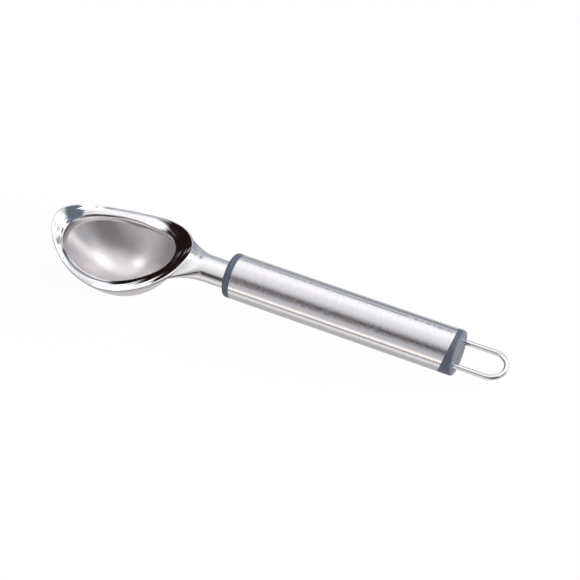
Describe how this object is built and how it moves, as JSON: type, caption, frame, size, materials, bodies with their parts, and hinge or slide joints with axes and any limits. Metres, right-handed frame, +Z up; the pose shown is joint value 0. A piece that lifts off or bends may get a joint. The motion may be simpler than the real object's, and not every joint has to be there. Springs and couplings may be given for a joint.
{
  "type": "ice cream scoop",
  "caption": "One-piece ice cream scoop: cast oval bowl with a wide polished lip on a round brushed tube handle with dark collar, cap and wire hanging loop.",
  "frame": {"origin": "on the surface the scoop lies on, under the middle of its length", "axes": "+X along the scoop from the bowl to the hanging loop, +Z up out of the bowl's open side, +Y to the side"},
  "size_m": [0.2136, 0.0488, 0.0345],
  "materials": {
    "polished_head": "mirror polished lip and neck, satin hollow",
    "brushed_tube": "brushed round the tube",
    "grey_plastic": "satin slate grey",
    "polished_wire": "polished",
    "plated_steel": "bright plated",
    "core_plastic": "as moulded",
    "seal_rubber": "matt"
  },
  "bodies": {
    "root": {"scoop_head": "polished_head", "front_seal": "seal_rubber", "front_collar": "grey_plastic", "handle_tube": "brushed_tube", "tie_rod": "plated_steel", "tail_plug": "core_plastic", "tail_washer": "plated_steel", "lock_washer": "plated_steel", "tail_nut": "plated_steel", "tail_seal": "seal_rubber", "end_cap": "grey_plastic", "hanging_loop": "polished_wire"}
  },
  "joints": []
}
